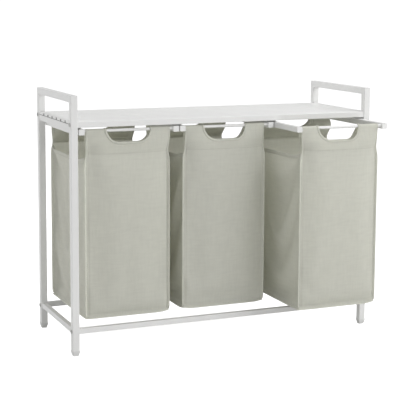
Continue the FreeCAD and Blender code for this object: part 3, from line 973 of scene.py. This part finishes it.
def bag_edges(bag, drape):
    """The binding of each hand notch and the hems on top of the side panels, with their stitches."""
    cloth_parts, thread_parts = [], []
    ribbon = rounded_section(NOTCH_BINDING, BINDING_THICK, 0.45 * BINDING_THICK, 2)
    proud = BINDING_THICK / 2 - 0.7 * MM
    for sign in (-1, 1):
        path, facing = notch_path(bag, drape, sign, NOTCH_BINDING / 2 - 0.6 * MM)
        ahead = np.roll(path, -1, 0) - np.roll(path, 1, 0)
        sideways = unit(np.cross(ahead, facing))
        cloth_parts.append(sweep(path + facing * proud, sideways, facing, ribbon, closed=True))
        path, facing = notch_path(bag, drape, sign, NOTCH_BINDING - 2.2 * MM)
        line = path + facing * (proud + BINDING_THICK / 2)
        thread_parts.append(stitches(looped(line), looped(facing)))
    for side in (-1, 1):
        y = np.linspace(bag.front_y + 2 * MM, bag.rear_y - 2 * MM, HEM_PLACES)
        path = drape.hang(np.array([(bag.x + side * bag.half, place, SIDE_TOP) for place in y]))
        path[:, 2] += 1 * MM - HEM / 2
        across, up = repeated((side, 0, 0), HEM_PLACES), repeated((0, 0, 1), HEM_PLACES)
        cloth_parts.append(sweep(path, across, up, rounded_section(HEM_THICK, HEM, HEM_THICK * 0.4)))
        for face in (-1, 1):
            line = path + across * face * HEM_THICK / 2 - up * (HEM / 2 - 2 * MM)
            thread_parts.append(stitches(line, across * face))
    add_bag_piece(bag, "edges", TRIM_CLOTH, cloth_parts)
    return thread_parts


def sleeve_stitches(bag, drape):
    """The rows that close the two sleeves."""
    parts, across = [], np.linspace(-bag.flap + 2 * MM, bag.flap - 2 * MM, SLEEVE_PLACES)
    for sign in (-1, 1):
        for place, face in ((bag.outer_y, sign), (bag.inner_y, -sign)):
            line = np.array([(bag.x + x, place(sign, STITCH_LEVEL), STITCH_LEVEL) for x in across])
            facing = repeated((0, face, 0), SLEEVE_PLACES)
            sunk = SLEEVE_CREASE if face == sign else 0
            parts.append(stitches(drape.hang(line, sign) + facing * (CLOTH / 2 - sunk), facing))
    return parts


# how far in from the board's outline, and how high, in millimetres: under side, rounded edge,
# groove with the cover's stitches, and top
BASE_PROFILE = ((60, 0), (1.2, 0), (0.3, 0.5), (0, 1.7), (0.3, 2.9), (1.2, 3.4), (6, 3.5), (7, 3.1),
                (8, 3.5), (20, 3.6), (60, 3.7))
BASE_GROOVE = BASE_PROFILE.index((7, 3.1))


def bag_base(bag):
    """The stiff board in the bottom, covered in cloth, with its cover's stitching near the edge."""
    half_x = min(*(bag.wide - np.abs(bag.aside)), bag.half) - BASE_GAP
    half_y = (bag.rear_y - bag.front_y) / 2 - BASE_GAP
    outline = rounded_section(2 * half_x, 2 * half_y, 14 * MM, 5)
    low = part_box(bag.name + "_bag_board")[0].z
    rows = []
    for inset, height in BASE_PROFILE:
        across, along = 1 - inset * MM / half_x, 1 - inset * MM / half_y
        rows.append([(bag.x + x * across, bag.middle_y + y * along, low + height * MM) for x, y in outline])
    around = len(outline)
    verts = np.array([point for row in rows for point in row])
    faces = [tuple(range(around))[::-1], tuple(range(len(verts) - around, len(verts)))]
    faces += ring_faces(len(rows), around)
    uvs = [tuple(verts[i][:2]) for face in faces for i in face]
    piece = add_bag_piece(bag, "base", BOARD_CLOTH, [(verts, faces, uvs)])
    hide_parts(bag.name + "_bag_board")
    line = looped(rows[BASE_GROOVE])
    return [stitches(line, repeated((0, 0, 1), len(line)))]


def make_bag(name):
    bag = Bag(name)
    drape = Drape(bag)
    bag_shell(bag, drape)
    threads = bag_seams(bag, drape) + bag_edges(bag, drape) + sleeve_stitches(bag, drape) + bag_base(bag)
    add_bag_piece(bag, "stitching", THREAD_MATERIAL, threads)


for bag_name in HANGS:
    make_bag(bag_name)


# ---------------- the shelf's dark combs: painted shade in the gaps at the slats' ends
def shade_bar(start, end, width, height):
    """A level bar with rounded edges between two points."""
    start, end = np.array(start), np.array(end)
    ahead = (end - start) / np.linalg.norm(end - start)
    up = (0, 0, 1)
    path = start + (end - start) * np.linspace(0, 1, 4)[:, None]
    section = rounded_section(width, height, 0.3 * min(width, height), 2)
    return sweep(path, repeated(np.cross(ahead, up), 4), repeated(up, 4), section)


def slat_shade_comb(side, sign):
    """A dark comb of painted shade that stands in for the shadow gaps at the slats' ends: a strip on an upper
    side rail, with teeth between the slats.
    """
    rail_low, rail_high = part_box(side + "_upper_side_rail")
    slats = [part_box(node) for node in sorted(frame["nodes"]) if node.startswith("shelf_slat_")]
    slat_end = slats[0][1].x
    rail_face = max(abs(rail_low.x), abs(rail_high.x))
    width = rail_face - slat_end - 2 * COMB_GAP
    x, z = sign * (slat_end + COMB_GAP + width / 2), rail_high.z + COMB_STRIP / 2
    parts = [shade_bar((x, rail_low.y, z), (x, rail_high.y, z), width, COMB_STRIP)]
    tall = slats[0][1].z - COMB_DROP - rail_high.z
    outer, inner = sign * (slat_end + 2 * COMB_GAP), sign * (slat_end - COMB_TOOTH)
    for (_, before), (after, _) in zip(slats, slats[1:]):
        y, z = (before.y + after.y) / 2, rail_high.z + tall / 2
        parts.append(shade_bar((outer, y, z), (inner, y, z), after.y - before.y - COMB_GAP, tall))
    add_piece(side + "_slat_shade_comb", "frame", SHADE_COMB_MATERIAL, parts)


# dark strips of painted shade at both ends of the shelf
for side_name, side_sign in SIDES.items():
    slat_shade_comb(side_name, side_sign)


# ---------------- floor, light and camera
FLOOR_REACH = 14.0
FLOOR_GLOW = 0.85  # how bright the floor glows where the camera sees it
BACKDROP = 1.1  # brightness of the world where the camera sees it
AMBIENT = 0.38  # brightness of the world as a light


def studio():
    corners = ((-1, -1), (1, -1), (1, 1), (-1, 1))
    floor = add_mesh("floor", [(FLOOR_REACH * x, FLOOR_REACH * y, 0) for x, y in corners], [(0, 1, 2, 3)])
    paint = Shader("floor_white", (0.82, 0.82, 0.82), 0.9, Specular_IOR_Level=0.1)
    paint.shader.inputs["Emission Color"].default_value = (1, 1, 1, 1)
    seen = paint.node("LightPath").outputs["Is Camera Ray"]
    paint.link(paint.maths("MULTIPLY", seen, FLOOR_GLOW), paint.shader.inputs["Emission Strength"])
    floor.data.materials.append(paint.material)

    world = bpy.data.worlds.new("studio")
    bpy.context.scene.world = world
    world.use_nodes = True
    nodes, links = world.node_tree.nodes, world.node_tree.links
    mix = nodes.new("ShaderNodeMixShader")
    links.new(nodes.new("ShaderNodeLightPath").outputs["Is Camera Ray"], mix.inputs["Fac"])
    grounds = (nodes["Background"], AMBIENT), (nodes.new("ShaderNodeBackground"), BACKDROP)
    for k, (ground, strength) in enumerate(grounds):
        ground.inputs["Color"].default_value = (1, 1, 1, 1)
        ground.inputs["Strength"].default_value = strength
        links.new(ground.outputs["Background"], mix.inputs[k + 1])
    links.new(mix.outputs["Shader"], nodes["World Output"].inputs["Surface"])


def softbox(name, place, aim, size, power):
    """A square area light at a place, turned to face a point."""
    light = bpy.data.lights.new(name, "AREA")
    light.shape = "SQUARE"
    light.size = size
    light.energy = power
    lamp = add_object(name, light)
    lamp.location = place
    lamp.rotation_euler = (Vector(aim) - Vector(place)).to_track_quat("-Z", "Y").to_euler()


def camera():
    """The viewpoint: in front of the sorter and to its left, with the lens of a product shot."""
    lens, rise = 105.27, -0.10
    place = (-1.4128, -3.2240, 0.9828)
    down, turn, roll = math.radians(7.9116), math.radians(23.3971), math.radians(0.3473)
    data = bpy.data.cameras.new("camera")
    data.lens, data.sensor_width, data.shift_y = lens, 36, rise
    eye = add_object("camera", data)
    eye.location = place
    look = Euler((math.pi / 2 - down, 0, -turn)).to_matrix() @ Euler((0, 0, roll)).to_matrix()
    eye.rotation_euler = look.to_euler()
    bpy.context.scene.camera = eye


studio()
softbox("key", (2.05, -1.9, 2.1), (0.15, 0, 0.4), 2.0, 49)
softbox("fill", (-1.6, -3.6, 0.8), (0.0, 0, 0.35), 1.6, 16)
softbox("back", (-2.6, 2.0, 1.0), (0, 0, 0.35), 2.0, 30)
softbox("top", (0.3, 0.2, 3.0), (0.1, 0, 0.6), 1.8, 27)
camera()
bpy.context.scene.view_settings.view_transform = "Standard"
